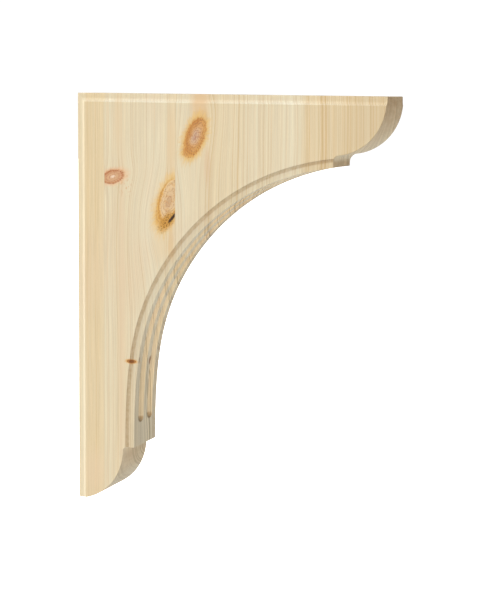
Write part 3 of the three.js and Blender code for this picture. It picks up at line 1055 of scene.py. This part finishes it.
# Painted shade on the rear strip of the underside, which faces away from the lamps.
shaded_rear_strip = w.times(
    w.span(y, *REAR_STRIP_FROM),
    w.span(normal_parts["X"], 0.1, 0.4, 0.0, REAR_STRIP_SHADE),
    w.maths("LESS_THAN", x, step_x - 0.5),
)
# Painted shade on the hollow along the curve, which faces down and away from the light.
shaded_curve_hollow = w.times(w.span(towards_curve, 0.05, 0.45, 0.0, CURVE_HOLLOW_SHADE), in_hollow)
for mask in (on_flute_end, shaded_rear_strip, shaded_curve_hollow):
    scorch_and_shade = w.maths("MAXIMUM", scorch_and_shade, mask)
scorch_and_shade_noise = w.stretched(place, SCORCH_AND_SHADE_STRETCH, 3.0, 0.6)
scorch_and_shade = w.times(scorch_and_shade, w.span(scorch_and_shade_noise, 0.25, 0.7, 0.55, 1.0))
# Scorch and painted shade: one darker and browner tint over all these masks.
colour = w.tinted(scorch_and_shade, colour, SCORCH_AND_SHADE_TINT)
print("scorch darkens the wood to", SCORCH_AND_SHADE_TINT[:3])

# %% [markdown]
# Two of the glue lines show on the face as thin, slightly darker lines. A groove would be wrong, since the
# joints are flush. Handling has rubbed the arrises a little smoother, and they are painted paler as a
# painted highlight. Both come from the mesh's own convex edges, so they sit on every arris, whatever its
# direction.

# %% Glue lines
JOINT_HALF_WIDTH = 0.22
JOINT_TONE = tone(206, 180, 138)
JOINT_STRENGTH = 0.45
joint = None
for stave in STAVES[1:3]:
    near = w.maths("COMPARE", x, stave["start"], JOINT_HALF_WIDTH)
    joint = near if joint is None else w.maths("MAXIMUM", joint, near)
colour = w.mix(w.times(joint, JOINT_STRENGTH), colour, JOINT_TONE)
print("glue lines are", 2 * JOINT_HALF_WIDTH, "mm wide")

# %% Edge wear and painted highlight: handled arrises are rubbed smoother, and painted paler in places
ARRIS_HIGHLIGHT_TINT = (1.06, 1.06, 1.05, 1.0)
WORN_SMOOTHER = 0.10
FLAT_FACE_ROOM = (0.005, 0.03)
convex = w.node("ShaderNodeNewGeometry").outputs["Pointiness"]
rubbing_and_highlight_noise = w.stretched(place, (0.25, 0.25, 0.12), 3.0, 0.6)
below_face = [HALF_THICKNESS - room for room in FLAT_FACE_ROOM]
wear_and_highlight = w.times(
    w.span(convex, 0.53, 0.60), w.span(rubbing_and_highlight_noise, 0.38, 0.62, 0.15, 1.0), w.span(from_mid, *below_face)
)
# Painted highlight: the arrises are tinted paler.
colour = w.tinted(wear_and_highlight, colour, ARRIS_HIGHLIGHT_TINT)
print("worn arrises are lightened by", ARRIS_HIGHLIGHT_TINT[:3])

# %% [markdown]
# The wood is bare and dry, so its shine is broad and weak. The fibres stand up a little and the late wood
# is harder than the rest. A faint bump is enough for that, because it is far finer than any edge of the
# board, while every form that can be seen is in the mesh.

# %% Surface: dry planed wood, with fibres that stand up a little
BUMP_STRENGTH = 0.30
BUMP_DISTANCE = 0.00025
SHINE = 0.30
height = w.maths("MULTIPLY_ADD", fibres, 0.6, w.times(pores, 0.3))
height = w.maths("MULTIPLY_ADD", late_wood, 0.25, height)
bump = w.node(
    "ShaderNodeBump", {"Height": height, "Strength": BUMP_STRENGTH, "Distance": BUMP_DISTANCE}
)
roughness = w.span(fibres, 0.2, 0.8, 0.54, 0.68, smooth=False)
roughness = w.maths("MULTIPLY_ADD", wear_and_highlight, -WORN_SMOOTHER, roughness)
surface = w.node(
    "ShaderNodeBsdfPrincipled",
    {
        "Base Color": colour,
        "Roughness": roughness,
        "Normal": bump.outputs[0],
        "Specular IOR Level": SHINE,
    },
)
w.node("ShaderNodeOutputMaterial", {"Surface": surface.outputs[0]})
board_mesh.materials.append(pine)
print("pine nodes:", len(pine.node_tree.nodes))

# %% [markdown]
# The bracket hangs clear of everything in the photograph, on plain white. Here it hangs over a pale floor
# in a white room. The light is soft, strongest from the upper left and weakest from the right, as the pale
# left slopes and the dark right ends show.

# %% Floor
FLOOR_DROP = 0.40
FLOOR_HALF_SIDE = 12.0
floor_mesh = bpy.data.meshes.new("floor")
floor_z = low[2] - FLOOR_DROP
floor_corners = [
    (-FLOOR_HALF_SIDE, -FLOOR_HALF_SIDE, floor_z),
    (FLOOR_HALF_SIDE, -FLOOR_HALF_SIDE, floor_z),
    (FLOOR_HALF_SIDE, FLOOR_HALF_SIDE, floor_z),
    (-FLOOR_HALF_SIDE, FLOOR_HALF_SIDE, floor_z),
]
floor_mesh.from_pydata(floor_corners, [], [(0, 1, 2, 3)])
floor = bpy.data.objects.new("floor", floor_mesh)
bpy.context.scene.collection.objects.link(floor)

floor_material = bpy.data.materials.new("pale_floor")
floor_material.use_nodes = True
floor_shader = floor_material.node_tree.nodes["Principled BSDF"]
floor_shader.inputs["Base Color"].default_value = (0.84, 0.84, 0.84, 1.0)
floor_shader.inputs["Roughness"].default_value = 0.9
floor_shader.inputs["Emission Color"].default_value = (1.0, 1.0, 1.0, 1.0)
camera_sees = floor_material.node_tree.nodes.new("ShaderNodeLightPath")
floor_material.node_tree.links.new(
    camera_sees.outputs["Is Camera Ray"], floor_shader.inputs["Emission Strength"]
)
floor_mesh.materials.append(floor_material)
print("floor lies at", round(floor_z, 3), "m")

# %% Room light: a white room that lights the wood only a little, and looks pure white to the camera
ROOM_LEVEL = 0.29 * FACE_LIGHT
ROOM_LEAN = Vector((-0.12, 0.10, 0.06)) * FACE_LIGHT
WHITE_TO_CAMERA = 1.05
world = bpy.data.worlds.new("white_room")
bpy.context.scene.world = world
world.use_nodes = True
sky = Wires(world.node_tree)
direction = sky.node("ShaderNodeTexCoord").outputs["Generated"]
lean = sky.node("ShaderNodeVectorMath", {0: direction, 1: ROOM_LEAN}, operation="DOT_PRODUCT")
level = sky.maths("ADD", lean.outputs["Value"], ROOM_LEVEL)
to_camera = sky.node("ShaderNodeLightPath").outputs["Is Camera Ray"]
seen = sky.node("ShaderNodeMix", {0: to_camera, 2: level, 3: WHITE_TO_CAMERA}).outputs[0]
sky.feed(world.node_tree.nodes["Background"].inputs["Color"], (1.0, 1.0, 1.0, 1.0))
sky.feed(world.node_tree.nodes["Background"].inputs["Strength"], seen)
print("room level:", round(ROOM_LEVEL, 3), "lean:", [round(part, 3) for part in ROOM_LEAN])

# %% Two broad soft lamps: one in front and a little to the right, one on the upper left
LAMPS = {
    "front_lamp": dict(share=0.44, come_from=(0.42, -0.885, 0.20), width=50),
    "left_lamp": dict(share=0.90, come_from=(-0.77, -0.14, 0.62), width=60),
}
for name, lamp in LAMPS.items():
    lamp_data = bpy.data.lights.new(name, "SUN")
    lamp_data.energy = lamp["share"] * math.pi * FACE_LIGHT
    lamp_data.angle = math.radians(lamp["width"])
    lamp_object = bpy.data.objects.new(name, lamp_data)
    lamp_object.rotation_euler = Vector(lamp["come_from"]).to_track_quat("Z", "Y").to_euler()
    bpy.context.scene.collection.objects.link(lamp_object)
print("lamps:", ", ".join(LAMPS))
bpy.context.scene.view_settings.view_transform = "Standard"
bpy.context.scene.view_settings.look = "None"
